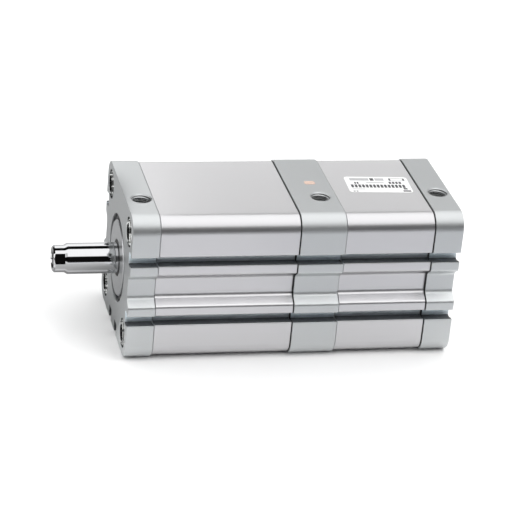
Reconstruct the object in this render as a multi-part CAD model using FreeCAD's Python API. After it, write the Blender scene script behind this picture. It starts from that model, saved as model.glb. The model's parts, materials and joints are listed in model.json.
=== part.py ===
import FreeCAD, Part
import math
import os

# Two-stage compact pneumatic cylinder with three rod positions, in millimetres.
# The origin is where the rod axis meets the front mounting face. +X runs out along the
# piston rod, +Z is the side with the air ports, and the body lies on the -X side.
# It is drawn as photographed: rear piston fully forward, rod at its middle position.

# Body section: its side follows from the bore, the sensor slots and the wall left between them
bore_radius = 31.5
slot_wall = 0.8
corner_radius = 9.0
barrel_inset = 0.7
edge_break = 0.3

# Flanks of the section: a recessed band between two ledges, and a sensor slot above and below.
# The band is deepest in the barrels, and the gaskets stand up from the floors of band and slots.
band_half_height = 5.2
band_wall = 1.5
head_band_rise = 0.6
gasket_rise = 1.3
ledge_edge = 8.9
ledge_drop = 0.2
ledge_round = 2.0
band_round = 3.0
flank_slot_offset = 16.4
bottom_slot_offset = 8.2

# Sensor slot, a T in section
slot_mouth = 5.2
slot_undercut = 0.8
slot_lip = 2.2
slot_depth = 6.5
slot_lip_round = 0.5
slot_floor_round = 0.8

# Lengths along the axis
front_head_length = 14.0
mid_head_length = 23.2
rear_head_length = 14.7
gasket_thickness = 0.5
spigot_length = 3.0
front_stroke = 50.0
rear_stroke = 25.0
rod_reach_home = 8.0

# Clearances in the bore
spigot_clearance = 0.1
running_clearance = 0.04
seal_clearance = 0.05
piston_clearance = 0.3
ring_side_clearance = 0.1
stop_gap = 0.3
push_gap = 0.3

# Pistons
piston_length = 12.4
seal_groove = 2.9
guide_groove = 4.0
seal_depth = 3.3
magnet_root_depth = 5.2
guide_thickness = 1.7
guide_cut = 1.0
piston_fit = 0.1

# Lip seals
lip_thickness = 0.7
lip_notch = 1.3

# End-stop bumpers in the head faces
bumper_inner_radius = 16.0
bumper_outer_radius = 22.0
bumper_seat = 2.0
bumper_proud = 1.0
seat_clearance = 0.1

# Piston rod
rod_radius = 8.0
neck_radius = 7.0
neck_length = 5.8
neck_cone = 1.6
tip_chamfer = 0.8
wrench_flats = 13.0
flat_turn = 24.0
rod_thread_radius = 5.0
rod_thread_depth = 18.0
rod_thread_mouth = 0.6

# Push rod between the stages
push_rod_radius = 6.0
push_rod_chamfer = 0.8
push_bush_wall = 1.5

# Socket head screws that hold the pistons, and the rod spigots that the pistons sit on
front_screw_head_radius = 6.5
front_screw_head_height = 4.5
front_screw_socket = 3.0
front_screw_radius = 4.0
front_screw_length = 22.0
front_spigot_radius = 6.0
rear_screw_head_radius = 5.5
rear_screw_head_height = 4.0
rear_screw_socket = 2.5
rear_screw_radius = 3.0
rear_screw_length = 20.0
rear_spigot_radius = 4.5
socket_depth = 2.2
thread_clearance = 0.05
clamp_gap = 0.1
drill_point_angle = 118.0

# Rod gland and its seals, depths measured from the front face
gland_flange_radius = 22.6
gland_shoulder = 3.1
gland_tail_radius = 14.0
gland_fit = 0.1
gland_flange_start = 2.9
gland_flange_end = 8.8
gland_tail_end = 15.4
gland_bore_radius = 9.5
rod_hole_radius = 9.0
wiper_depth = 3.2
wiper_lip = 0.3
wiper_lip_thickness = 0.5
seal_pocket_radius = 12.0
seal_pocket_start = 11.8
retaining_ring_seat = 1.2
retaining_ring_thickness = 1.5
retaining_ring_play = 0.3
retaining_ring_gap = 8.0
retaining_ring_eye = 1.0
retaining_ring_eye_inset = 4.2

# O-rings, whose section is drawn with flats, as squeezed in the groove
o_ring_section = 0.75
o_ring_land = 0.75
o_ring_flats = 8

# Tie screws with a threaded mounting hole in the head
tie_edge_distance = 11.25
tie_recess = 2.0
tie_flange_radius = 7.3
tie_flange_length = 3.5
tie_collar_radius = 6.3
tie_collar_length = 16.5
tie_shank_radius = 4.0
tie_engagement = 10.0
tie_thread_radius = 4.0
tie_thread_depth = 16.5
tie_clearance = 0.2
tie_head_clearance = 0.3

# Air ports on the top, and the galleries that lead from them to the chambers
port_radius = 4.865
port_mouth_radius = 5.15
port_depth = 9.0
port_drill_radius = 3.0
gallery_radius = 1.75
gallery_height = 22.0
front_port_from_face = 8.0
front_port_offset = 13.5
mid_port_from_front = 14.7
mid_port_offset = 13.5
rear_port_from_front = 8.2
rear_port_offset = 10.0

# Depths of the band below the skin of each piece, and the side of the body
barrel_band_depth = slot_wall + slot_depth - band_wall
head_band_depth = barrel_band_depth - head_band_rise
gasket_band_depth = barrel_band_depth - gasket_rise
gasket_slot_depth = slot_depth - gasket_rise
half_side = bore_radius + slot_wall + slot_depth + barrel_inset

# Stations along X, from front to rear
front_barrel_length = front_stroke + piston_length + 2 * (spigot_length + bumper_proud + stop_gap)
rear_barrel_length = rear_stroke + piston_length + 2 * (spigot_length + bumper_proud + stop_gap)
front_barrel_x = -front_head_length
front_seam_x = front_barrel_x - front_barrel_length
mid_head_x = front_seam_x - gasket_thickness
rear_barrel_x = mid_head_x - mid_head_length
rear_seam_x = rear_barrel_x - rear_barrel_length
rear_head_x = rear_seam_x - gasket_thickness
rear_face_x = rear_head_x - rear_head_length

# Faces of the spigots that close the two chambers
front_chamber_front_x = front_barrel_x - spigot_length
front_chamber_rear_x = front_seam_x + spigot_length
rear_chamber_front_x = rear_barrel_x - spigot_length
rear_chamber_rear_x = rear_seam_x + spigot_length

# Radii and places that follow from the sizes above
spigot_radius = bore_radius - spigot_clearance
gland_nose_radius = gland_flange_radius - gland_shoulder
retaining_ring_radius = gland_flange_radius + retaining_ring_seat
bolt_reach = half_side - tie_edge_distance

# The pistons as photographed
front_piston_x = front_chamber_front_x - bumper_proud - stop_gap - (front_stroke - rear_stroke)
rear_piston_x = rear_chamber_front_x - bumper_proud - stop_gap
push_tip_x = front_piston_x - piston_length - push_gap
rod_tip_x = rod_reach_home + rear_stroke

# How far a groove cutter stands out of the surface that it cuts, and what counts as flat
cutter_margin = 1.0
flat_tolerance = 1e-6

axis_x = FreeCAD.Vector(1, 0, 0)
centre = FreeCAD.Vector(0, 0, 0)


def turned(outline):
    """A solid of revolution about the rod axis from corners given as (x, radius)."""
    points = [FreeCAD.Vector(x, radius, 0) for x, radius in outline]
    face = Part.Face(Part.makePolygon(points + points[:1]))
    solid = face.revolve(centre, axis_x, 360)
    if solid.Volume < 0:
        solid.reverse()
    return solid


def disc(radius, x_front, x_rear):
    """A cylinder on the rod axis between two stations."""
    return Part.makeCylinder(radius, x_front - x_rear, FreeCAD.Vector(x_rear, 0, 0), axis_x)


def ring(inner_radius, outer_radius, x_front, x_rear):
    """A plain ring on the rod axis between two stations."""
    return disc(outer_radius, x_front, x_rear).cut(disc(inner_radius, x_front, x_rear))


def rounded_wire(corners):
    """A closed outline in the YZ plane from corners (y, z, rounding), each rounding a tangent arc."""
    edges = []
    last = None
    first = None
    count = len(corners)
    for i, (y, z, rounding) in enumerate(corners):
        here = FreeCAD.Vector(0, y, z)
        before = FreeCAD.Vector(0, *corners[i - 1][:2]) - here
        after = FreeCAD.Vector(0, *corners[(i + 1) % count][:2]) - here
        before.normalize()
        after.normalize()
        if rounding:
            half_angle = before.getAngle(after) / 2
            reach = rounding / math.tan(half_angle)
            inward = (before + after).normalize()
            start = here + before * reach
            end = here + after * reach
            middle = here + inward * (rounding / math.sin(half_angle) - rounding)
        else:
            start = here
            end = here
        if last is not None:
            edges.append(Part.LineSegment(last, start).toShape())
        else:
            first = start
        if rounding:
            edges.append(Part.Arc(start, middle, end).toShape())
        last = end
    edges.append(Part.LineSegment(last, first).toShape())
    return Part.Wire(edges)


def slot_corners(offset, near_drop, floor_depth):
    """One T-slot as (position along the face, depth, rounding), from the outer lip to the inner lip."""
    outer = offset + slot_mouth / 2
    inner = offset - slot_mouth / 2
    return [
        (outer, 0, slot_lip_round),
        (outer, slot_lip, 0),
        (outer + slot_undercut, slot_lip, 0),
        (outer + slot_undercut, floor_depth, slot_floor_round),
        (inner - slot_undercut, floor_depth, slot_floor_round),
        (inner - slot_undercut, slot_lip, 0),
        (inner, slot_lip, 0),
        (inner, near_drop, slot_lip_round),
    ]


def mirrored(corners):
    """The other half of a symmetric face: the same corners in reverse on the other side of the middle."""
    return [(-along, depth, rounding) for along, depth, rounding in reversed(corners)]


def section(inset, band_depth, floor_depth):
    """The face of the body section, its skin drawn in by the inset, with the depths of band and slots."""
    half = half_side - inset
    corner = corner_radius - inset
    flank = slot_corners(flank_slot_offset, ledge_drop, floor_depth)
    flank += [(ledge_edge, ledge_drop, ledge_round), (band_half_height, band_depth, band_round)]
    flank += mirrored(flank)
    floor = slot_corners(bottom_slot_offset, 0, floor_depth)
    floor += mirrored(floor)
    corners = [(-half, half, corner), (half, half, corner)]
    corners += [(half - depth, z, rounding) for z, depth, rounding in flank]
    corners += [(half, -half, corner)]
    corners += [(y, -half + depth, rounding) for y, depth, rounding in floor]
    corners += [(-half, -half, corner)]
    corners += [(-half + depth, -z, rounding) for z, depth, rounding in flank]
    return Part.Face(rounded_wire(corners))


def bar(face, x_front, x_rear):
    """A length of a body section between two stations."""
    face.translate(FreeCAD.Vector(x_rear, 0, 0))
    return face.extrude(FreeCAD.Vector(x_front - x_rear, 0, 0))


def head_block(x_front, x_rear):
    """A head: a length of the full section with its end edges broken."""
    block = bar(section(0, head_band_depth, slot_depth), x_front, x_rear)
    ends = [edge for edge in block.Edges if edge.BoundBox.XLength < flat_tolerance]
    return block.makeChamfer(edge_break, ends)


def corner_holes(radius, x_front, x_rear):
    """Four cylinders at the tie screw positions between two stations."""
    holes = []
    for y in (-bolt_reach, bolt_reach):
        for z in (-bolt_reach, bolt_reach):
            base = FreeCAD.Vector(x_rear, y, z)
            holes.append(Part.makeCylinder(radius, x_front - x_rear, base, axis_x))
    return holes


def tie_head_holes(x_face, inward, x_end):
    """The counterbores and clearance holes for tie screws whose heads sit below a mounting face."""
    seat_x = x_face + inward * (tie_recess + tie_flange_length)
    mouths = corner_holes(tie_flange_radius + tie_head_clearance, max(x_face, seat_x), min(x_face, seat_x))
    shafts = corner_holes(tie_collar_radius + tie_clearance, max(seat_x, x_end), min(seat_x, x_end))
    return mouths + shafts


def port_cutters(x, offset):
    """A threaded air port in the top face, its mouth chamfer and the drilling below it."""
    down = FreeCAD.Vector(0, 0, -1)
    mouth = FreeCAD.Vector(x, offset, half_side)
    chamfer = port_mouth_radius - port_radius
    drill_depth = half_side - gallery_height + gallery_radius
    return [
        Part.makeCylinder(port_radius, port_depth, mouth, down),
        Part.makeCone(port_mouth_radius, port_radius, chamfer, mouth, down),
        Part.makeCylinder(port_drill_radius, drill_depth, mouth, down),
    ]


def gallery(offset, x_front, x_rear):
    """An air gallery along X from a port's drilling to a chamber."""
    base = FreeCAD.Vector(x_rear, offset, gallery_height)
    return Part.makeCylinder(gallery_radius, x_front - x_rear, base, axis_x)


def bumper_groove(x_face, inward):
    """The groove in a spigot face that holds a bumper ring."""
    floor_x = x_face + inward * bumper_seat
    return ring(bumper_inner_radius, bumper_outer_radius, max(x_face, floor_x), min(x_face, floor_x))


def bumper(x_face, inward):
    """The rubber ring in that groove, standing proud of the spigot face."""
    floor_x = x_face + inward * bumper_seat
    proud_x = x_face - inward * bumper_proud
    inner = bumper_inner_radius + seat_clearance
    outer = bumper_outer_radius - seat_clearance
    return ring(inner, outer, max(floor_x, proud_x), min(floor_x, proud_x))


def o_ring_groove(outer_radius, x_middle):
    """A groove for an O-ring in a cylinder of the given radius, as the ring of metal to cut away."""
    half_width = o_ring_section + seat_clearance
    root = outer_radius - 2 * o_ring_section - seat_clearance
    return ring(root, outer_radius + cutter_margin, x_middle + half_width, x_middle - half_width)


def o_ring(outer_radius, x_middle):
    """An O-ring lying in that groove, level with the cylinder."""
    middle_radius = outer_radius - o_ring_section
    half_turn = math.pi / o_ring_flats
    corner_reach = o_ring_section / math.cos(half_turn)
    outline = []
    for i in range(o_ring_flats):
        angle = (2 * i + 1) * half_turn
        x = x_middle + corner_reach * math.sin(angle)
        outline.append((x, middle_radius + corner_reach * math.cos(angle)))
    return turned(outline)


front_o_ring_x = front_barrel_x - o_ring_land - o_ring_section
mid_o_ring_x = rear_barrel_x - o_ring_land - o_ring_section
gland_o_ring_x = -(gland_flange_start + gland_flange_end) / 2
front_port_x = -front_port_from_face
mid_port_x = mid_head_x - mid_port_from_front
rear_port_x = rear_head_x - rear_port_from_front


def make_front_head():
    """The front head with its spigot, gland seat, port and tie screw holes."""
    groove_front = gland_flange_start - retaining_ring_thickness - seat_clearance
    head = head_block(0, front_barrel_x)
    head = head.fuse(disc(spigot_radius, front_barrel_x, front_chamber_front_x))
    cutters = [
        disc(gland_flange_radius + gland_fit, 0, -gland_flange_end),
        disc(retaining_ring_radius + gland_fit, -groove_front, -gland_flange_start),
        disc(gland_tail_radius + gland_fit, 0, -gland_tail_end),
        disc(rod_hole_radius, 0, front_chamber_front_x),
        o_ring_groove(spigot_radius, front_o_ring_x),
        bumper_groove(front_chamber_front_x, 1),
        gallery(front_port_offset, front_port_x, front_chamber_front_x),
    ]
    cutters += port_cutters(front_port_x, front_port_offset)
    cutters += tie_head_holes(0, -1, front_barrel_x)
    return head.cut(cutters)


def make_barrel(x_front, x_rear):
    """A barrel: a length of extruded section with its bore and the four tie screw channels."""
    tube = bar(section(barrel_inset, barrel_band_depth, slot_depth), x_front, x_rear)
    channels = corner_holes(tie_collar_radius + tie_clearance, x_front, x_rear)
    return tube.cut([disc(bore_radius, x_front, x_rear)] + channels)


def make_gasket(x_front, hole_radius):
    """A flat gasket between a barrel's rear end and the head behind it."""
    x_rear = x_front - gasket_thickness
    sheet = bar(section(barrel_inset, gasket_band_depth, gasket_slot_depth), x_front, x_rear)
    holes = corner_holes(hole_radius, x_front, x_rear)
    return sheet.cut([disc(bore_radius, x_front, x_rear)] + holes)


def make_mid_head():
    """The head between the stages, with a spigot each side, the push rod's hole and one port for both."""
    head = head_block(mid_head_x, rear_barrel_x)
    head = head.fuse(disc(spigot_radius, front_chamber_rear_x, rear_chamber_front_x))
    thread = tie_shank_radius + thread_clearance
    depth = tie_engagement + clamp_gap
    cutters = [
        disc(push_rod_radius + push_bush_wall, front_chamber_rear_x, rear_chamber_front_x),
        o_ring_groove(spigot_radius, mid_o_ring_x),
        bumper_groove(front_chamber_rear_x, -1),
        bumper_groove(rear_chamber_front_x, 1),
        gallery(mid_port_offset, front_chamber_rear_x, rear_chamber_front_x),
    ]
    cutters += port_cutters(mid_port_x, mid_port_offset)
    cutters += corner_holes(thread, mid_head_x, mid_head_x - depth)
    cutters += corner_holes(thread, rear_barrel_x + depth, rear_barrel_x)
    return head.cut(cutters)


def make_rear_head():
    """The closed rear head with its spigot, port and tie screw holes."""
    head = head_block(rear_head_x, rear_face_x)
    head = head.fuse(disc(spigot_radius, rear_chamber_rear_x, rear_head_x))
    cutters = [
        bumper_groove(rear_chamber_rear_x, -1),
        gallery(rear_port_offset, rear_chamber_rear_x, rear_port_x),
    ]
    cutters += port_cutters(rear_port_x, rear_port_offset)
    cutters += tie_head_holes(rear_face_x, 1, rear_head_x)
    return head.cut(cutters)


def make_gland():
    """The rod gland: a nose level with the front face, a flange behind the retaining ring and a tail."""
    gland = turned([
        (0, gland_bore_radius),
        (0, gland_nose_radius - edge_break),
        (-edge_break, gland_nose_radius),
        (-gland_flange_start, gland_nose_radius),
        (-gland_flange_start, gland_flange_radius),
        (-gland_flange_end, gland_flange_radius),
        (-gland_flange_end, gland_tail_radius),
        (-gland_tail_end, gland_tail_radius),
        (-gland_tail_end, seal_pocket_radius),
        (-seal_pocket_start, seal_pocket_radius),
        (-seal_pocket_start, gland_bore_radius),
    ])
    return gland.cut(o_ring_groove(gland_flange_radius, gland_o_ring_x))


def make_retaining_ring():
    """The internal retaining ring in front of the gland flange, open at the bottom with an eye each side."""
    x_rear = -gland_flange_start
    x_front = x_rear + retaining_ring_thickness
    inner = gland_nose_radius + retaining_ring_play
    band = ring(inner, retaining_ring_radius, x_front, x_rear)
    eye_radius = (inner + retaining_ring_radius) / 2
    eye_angle = (retaining_ring_gap / 2 + retaining_ring_eye_inset) / eye_radius
    gap_corner = FreeCAD.Vector(x_rear, -retaining_ring_gap / 2, -retaining_ring_radius)
    cutters = [
        Part.makeBox(retaining_ring_thickness, retaining_ring_gap, retaining_ring_radius, gap_corner),
    ]
    for side in (-1, 1):
        y = side * eye_radius * math.sin(eye_angle)
        place = FreeCAD.Vector(x_rear, y, -eye_radius * math.cos(eye_angle))
        cutters.append(Part.makeCylinder(retaining_ring_eye, retaining_ring_thickness, place, axis_x))
    return band.cut(cutters)


def make_wiper():
    """The rod wiper, whose lip stands in front of the gland nose round the rod."""
    inner = rod_radius + seal_clearance
    outer = gland_bore_radius - seal_clearance
    return turned([
        (-wiper_depth, inner),
        (wiper_lip, inner),
        (wiper_lip, inner + wiper_lip_thickness),
        (0, outer),
        (-wiper_depth, outer),
    ])


def make_rod_bush():
    """The plain bearing that guides the rod, between the wiper and the rod seal."""
    inner = rod_radius + running_clearance
    return ring(inner, gland_bore_radius, -wiper_depth, -seal_pocket_start)


def lip_seal(inner, outer, x_lips, x_heel):
    """A U-shaped lip seal between two radii, its lips towards the pressure."""
    notch_x = x_lips + math.copysign(lip_notch, x_heel - x_lips)
    middle = (inner + outer) / 2
    return turned([
        (x_lips, inner),
        (x_heel, inner),
        (x_heel, outer - lip_thickness),
        (notch_x, outer),
        (x_lips, outer),
        (x_lips, outer - lip_thickness),
        (notch_x, middle),
        (x_lips, inner + lip_thickness),
    ])


def make_rod_seal():
    """The rod seal in the gland's tail, lips towards the chamber."""
    inner = rod_radius + seal_clearance
    outer = seal_pocket_radius - seal_clearance
    return lip_seal(inner, outer, -gland_tail_end + seal_clearance, -seal_pocket_start)


def make_tie_screws(x_face, inward, x_end):
    """Four flanged tie screws from a mounting face to the mid head, threaded inside for mounting bolts."""
    head_x = x_face + inward * tie_recess
    flange_x = head_x + inward * tie_flange_length
    collar_x = flange_x + inward * tie_collar_length
    screws = []
    for y in (-bolt_reach, bolt_reach):
        for z in (-bolt_reach, bolt_reach):
            screw = turned([
                (head_x, tie_thread_radius),
                (head_x, tie_flange_radius),
                (flange_x, tie_flange_radius),
                (flange_x, tie_collar_radius),
                (collar_x, tie_collar_radius),
                (collar_x, tie_shank_radius),
                (x_end, tie_shank_radius),
                (x_end, 0),
                (head_x + inward * tie_thread_depth, 0),
                (head_x + inward * tie_thread_depth, tie_thread_radius),
            ])
            screw.translate(FreeCAD.Vector(0, y, z))
            screws.append(screw)
    return Part.makeCompound(screws)


piston_radius = bore_radius - piston_clearance
groove_web = (piston_length - 2 * seal_groove - guide_groove) / 4


def piston_grooves(x_front):
    """The front station of the piston's three grooves: front seal, guide ring and rear seal."""
    front_seal = x_front - groove_web
    guide = front_seal - seal_groove - groove_web
    rear_seal = guide - guide_groove - groove_web
    return front_seal, guide, rear_seal


def make_piston(x_front, spigot_hole_radius, head_radius, head_height):
    """A piston disc with grooves for two lip seals and for the guide ring over its magnet."""
    front_seal, guide, rear_seal = piston_grooves(x_front)
    x_rear = x_front - piston_length
    outer = piston_radius + cutter_margin
    seal_root = piston_radius - seal_depth
    magnet_root = piston_radius - magnet_root_depth
    body = disc(piston_radius, x_front, x_rear)
    return body.cut([
        ring(seal_root, outer, front_seal, front_seal - seal_groove),
        ring(magnet_root, outer, guide, guide - guide_groove),
        ring(seal_root, outer, rear_seal, rear_seal - seal_groove),
        disc(spigot_hole_radius + piston_fit, x_front, x_rear),
        disc(head_radius + seat_clearance, x_rear + head_height, x_rear),
    ])


def make_piston_seals(x_front):
    """The two lip seals of a piston, facing away from each other."""
    front_seal, _, rear_seal = piston_grooves(x_front)
    inner = piston_radius - seal_depth + ring_side_clearance
    outer = bore_radius - seal_clearance
    far = seal_groove - ring_side_clearance
    front = lip_seal(inner, outer, front_seal - ring_side_clearance, front_seal - far)
    rear = lip_seal(inner, outer, rear_seal - far, rear_seal - ring_side_clearance)
    return Part.makeCompound([front, rear])


def make_guide_ring(x_front):
    """The split guide ring that runs on the bore."""
    _, guide, _ = piston_grooves(x_front)
    outer = bore_radius - running_clearance
    x_rear = guide - guide_groove + ring_side_clearance
    band = ring(outer - guide_thickness, outer, guide - ring_side_clearance, x_rear)
    corner = FreeCAD.Vector(x_rear, -guide_cut / 2, -bore_radius)
    cut = Part.makeBox(guide_groove, guide_cut, 2 * guide_thickness, corner)
    return band.cut(cut)


def make_magnet(x_front):
    """The magnet ring under the guide ring, which the sensors in the slots detect."""
    _, guide, _ = piston_grooves(x_front)
    inner = piston_radius - magnet_root_depth + ring_side_clearance
    outer = bore_radius - running_clearance - guide_thickness - ring_side_clearance
    return ring(inner, outer, guide - ring_side_clearance, guide - guide_groove + ring_side_clearance)


def make_piston_screw(x_piston_rear, head_radius, head_height, socket_radius, shank_radius, shank_length):
    """A socket head screw that clamps a piston to its rod, its head level with the piston's rear face."""
    shank_x = x_piston_rear + head_height
    head = disc(head_radius, shank_x, x_piston_rear)
    shank = disc(shank_radius, shank_x + shank_length, shank_x)
    corners = []
    for i in range(6):
        angle = math.radians(60 * i)
        y = socket_radius * math.cos(angle)
        z = socket_radius * math.sin(angle)
        corners.append(FreeCAD.Vector(x_piston_rear, y, z))
    socket = Part.Face(Part.makePolygon(corners + corners[:1])).extrude(axis_x * socket_depth)
    return head.fuse(shank).cut(socket)


def blind_hole(radius, x_mouth, depth, outward):
    """A drilled hole on the rod axis with a drill point at its bottom."""
    inward = FreeCAD.Vector(-outward, 0, 0)
    bottom = FreeCAD.Vector(x_mouth - outward * depth, 0, 0)
    hole = Part.makeCylinder(radius, depth, FreeCAD.Vector(x_mouth, 0, 0), inward)
    point_depth = radius / math.tan(math.radians(drill_point_angle / 2))
    return hole.fuse(Part.makeCone(radius, 0, point_depth, bottom, inward))


def make_piston_rod():
    """The piston rod: necked tip with wrench flats and a threaded hole, and a spigot for the piston."""
    cone_x = rod_tip_x - neck_length
    body_x = cone_x - neck_cone
    spigot_x = front_piston_x - piston_length + front_screw_head_height + clamp_gap
    rod = turned([
        (rod_tip_x, 0),
        (rod_tip_x, neck_radius - tip_chamfer),
        (rod_tip_x - tip_chamfer, neck_radius),
        (cone_x, neck_radius),
        (body_x, rod_radius),
        (front_piston_x, rod_radius),
        (front_piston_x, front_spigot_radius),
        (spigot_x, front_spigot_radius),
        (spigot_x, 0),
    ])
    mouth = FreeCAD.Vector(rod_tip_x, 0, 0)
    mouth_radius = rod_thread_radius + rod_thread_mouth
    cutters = [
        blind_hole(rod_thread_radius, rod_tip_x, rod_thread_depth, 1),
        Part.makeCone(mouth_radius, rod_thread_radius, rod_thread_mouth, mouth, -axis_x),
        blind_hole(front_screw_radius + thread_clearance, spigot_x, front_screw_length, -1),
    ]
    for y in (wrench_flats / 2, -wrench_flats / 2 - rod_radius):
        corner = FreeCAD.Vector(cone_x, y, -rod_radius)
        flat = Part.makeBox(neck_length, rod_radius, 2 * rod_radius, corner)
        flat.rotate(centre, axis_x, flat_turn)
        cutters.append(flat)
    return rod.cut(cutters)


def make_push_rod():
    """The rear stage's rod, which pushes the front piston through the mid head."""
    spigot_x = rear_piston_x - piston_length + rear_screw_head_height + clamp_gap
    rod = turned([
        (push_tip_x, 0),
        (push_tip_x, push_rod_radius - push_rod_chamfer),
        (push_tip_x - push_rod_chamfer, push_rod_radius),
        (rear_piston_x, push_rod_radius),
        (rear_piston_x, rear_spigot_radius),
        (spigot_x, rear_spigot_radius),
        (spigot_x, 0),
    ])
    return rod.cut(blind_hole(rear_screw_radius + thread_clearance, spigot_x, rear_screw_length, -1))


def make_push_rod_bush():
    """The plain bearing for the push rod in the mid head."""
    inner = push_rod_radius + running_clearance
    return ring(inner, push_rod_radius + push_bush_wall, mid_head_x, rear_barrel_x)


front_screw = (front_screw_head_radius, front_screw_head_height)
rear_screw = (rear_screw_head_radius, rear_screw_head_height)
front_piston_rear_x = front_piston_x - piston_length
rear_piston_rear_x = rear_piston_x - piston_length

pieces = {
    "front_head": make_front_head(),
    "front_barrel": make_barrel(front_barrel_x, front_seam_x),
    "mid_head_gasket": make_gasket(front_seam_x, tie_shank_radius + tie_clearance),
    "mid_head": make_mid_head(),
    "rear_barrel": make_barrel(rear_barrel_x, rear_seam_x),
    "rear_head_gasket": make_gasket(rear_seam_x, tie_collar_radius + tie_clearance),
    "rear_head": make_rear_head(),
    "front_tie_screws": make_tie_screws(0, -1, mid_head_x - tie_engagement),
    "rear_tie_screws": make_tie_screws(rear_face_x, 1, rear_barrel_x + tie_engagement),
    "rod_gland": make_gland(),
    "gland_retaining_ring": make_retaining_ring(),
    "gland_o_ring": o_ring(gland_flange_radius, gland_o_ring_x),
    "rod_wiper": make_wiper(),
    "rod_bush": make_rod_bush(),
    "rod_seal": make_rod_seal(),
    "front_head_o_ring": o_ring(spigot_radius, front_o_ring_x),
    "mid_head_o_ring": o_ring(spigot_radius, mid_o_ring_x),
    "front_head_bumper": bumper(front_chamber_front_x, 1),
    "mid_head_front_bumper": bumper(front_chamber_rear_x, -1),
    "mid_head_rear_bumper": bumper(rear_chamber_front_x, 1),
    "rear_head_bumper": bumper(rear_chamber_rear_x, -1),
    "push_rod_bush": make_push_rod_bush(),
    "piston_rod": make_piston_rod(),
    "front_piston": make_piston(front_piston_x, front_spigot_radius, *front_screw),
    "front_piston_screw": make_piston_screw(
        front_piston_rear_x, *front_screw, front_screw_socket, front_screw_radius, front_screw_length),
    "front_piston_lip_seals": make_piston_seals(front_piston_x),
    "front_piston_guide_ring": make_guide_ring(front_piston_x),
    "front_piston_magnet": make_magnet(front_piston_x),
    "push_rod": make_push_rod(),
    "rear_piston": make_piston(rear_piston_x, rear_spigot_radius, *rear_screw),
    "rear_piston_screw": make_piston_screw(
        rear_piston_rear_x, *rear_screw, rear_screw_socket, rear_screw_radius, rear_screw_length),
    "rear_piston_lip_seals": make_piston_seals(rear_piston_x),
    "rear_piston_guide_ring": make_guide_ring(rear_piston_x),
    "rear_piston_magnet": make_magnet(rear_piston_x),
}

os.makedirs("parts", exist_ok=True)
for name, shape in pieces.items():
    shape.exportStep("parts/" + name + ".step")
    print(name, "solids", len(shape.Solids), "volume", round(shape.Volume), "valid", shape.isValid())
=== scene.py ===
# %% [markdown]
# # Dressing a compact pneumatic cylinder
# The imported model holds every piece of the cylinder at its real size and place. This lesson gives
# those pieces the look of the real object: satin extruded barrels between blasted heads, a chrome
# rod, turned steel, rubber, and a soft white studio. The frame is loaded first and never moved.

# %% Load the frame
import json
import math

import bmesh
import bpy
from mathutils import Matrix, Vector


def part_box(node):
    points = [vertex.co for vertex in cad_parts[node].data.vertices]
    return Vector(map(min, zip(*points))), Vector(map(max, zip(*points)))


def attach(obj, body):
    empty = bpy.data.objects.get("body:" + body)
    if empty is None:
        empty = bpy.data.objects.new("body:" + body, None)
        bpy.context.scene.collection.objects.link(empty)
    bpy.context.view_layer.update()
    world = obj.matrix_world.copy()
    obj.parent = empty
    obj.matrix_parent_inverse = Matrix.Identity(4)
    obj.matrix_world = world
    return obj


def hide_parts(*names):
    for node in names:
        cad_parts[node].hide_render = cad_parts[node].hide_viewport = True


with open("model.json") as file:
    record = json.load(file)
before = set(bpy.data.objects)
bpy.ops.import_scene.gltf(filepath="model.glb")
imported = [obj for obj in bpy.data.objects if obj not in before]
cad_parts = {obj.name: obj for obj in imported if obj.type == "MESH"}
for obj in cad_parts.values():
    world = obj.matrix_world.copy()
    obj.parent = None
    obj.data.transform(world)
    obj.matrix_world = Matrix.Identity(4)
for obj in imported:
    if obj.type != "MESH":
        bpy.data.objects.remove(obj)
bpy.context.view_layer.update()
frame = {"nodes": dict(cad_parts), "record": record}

# %% [markdown]
# ## The camera
# The photograph was taken with a long lens from above the flank, a little towards the rod. A camera
# can be placed by eye, but here its place was worked out from the body's edges, whose real lengths
# are known. It is aimed at a point close to the rod axis and then rolled, as a hand-held camera is.

# %% Camera
mm = 0.001
camera_place = Vector((192.5, 1031.0, 520.2)) * mm
aim_point = Vector((-73.92, 0.0, -1.39)) * mm
camera_roll = math.radians(5.488)
camera_lens = 160.14
sensor_width = 36.0
nearest_seen = 10 * mm


def add_camera():
    """A camera at the photograph's place, aimed and rolled."""
    bpy.ops.object.select_all(action="DESELECT")
    bpy.ops.object.camera_add(location=camera_place)
    camera = bpy.context.object
    level = (aim_point - camera_place).to_track_quat("-Z", "Y").to_matrix()
    camera.rotation_euler = (level @ Matrix.Rotation(camera_roll, 3, "Z")).to_euler()
    camera.data.lens = camera_lens
    camera.data.sensor_width = sensor_width
    camera.data.clip_start = nearest_seen
    bpy.context.scene.camera = camera
    return camera


camera = add_camera()
print("camera at", [round(v, 3) for v in camera.location])

# %% [markdown]
# ## Stations and sizes
# Where one piece ends and the next begins is read from the frame, so the new meshes meet exactly
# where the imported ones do. The sizes below are those of the section and the turned pieces, in
# millimetres, which a `mm` factor turns into Blender's metres.

# %% Stations along the axis, read from the frame
front_face_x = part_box("front_head")[1].x
front_barrel_rear_x, front_barrel_x = (corner.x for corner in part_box("front_barrel"))
mid_head_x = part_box("mid_head_gasket")[0].x
rear_barrel_rear_x, rear_barrel_x = (corner.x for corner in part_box("rear_barrel"))
rear_head_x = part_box("rear_head_gasket")[0].x
rear_face_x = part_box("rear_head")[0].x
head_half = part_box("front_head")[1].z
barrel_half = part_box("front_barrel")[1].z
floor_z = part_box("front_head")[0].z
mounts = {mount["name"]: mount for mount in frame["record"]["mounts"]}
print("stations", [round(x / mm, 1) for x in (front_face_x, front_barrel_x, mid_head_x, rear_face_x)])

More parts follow.
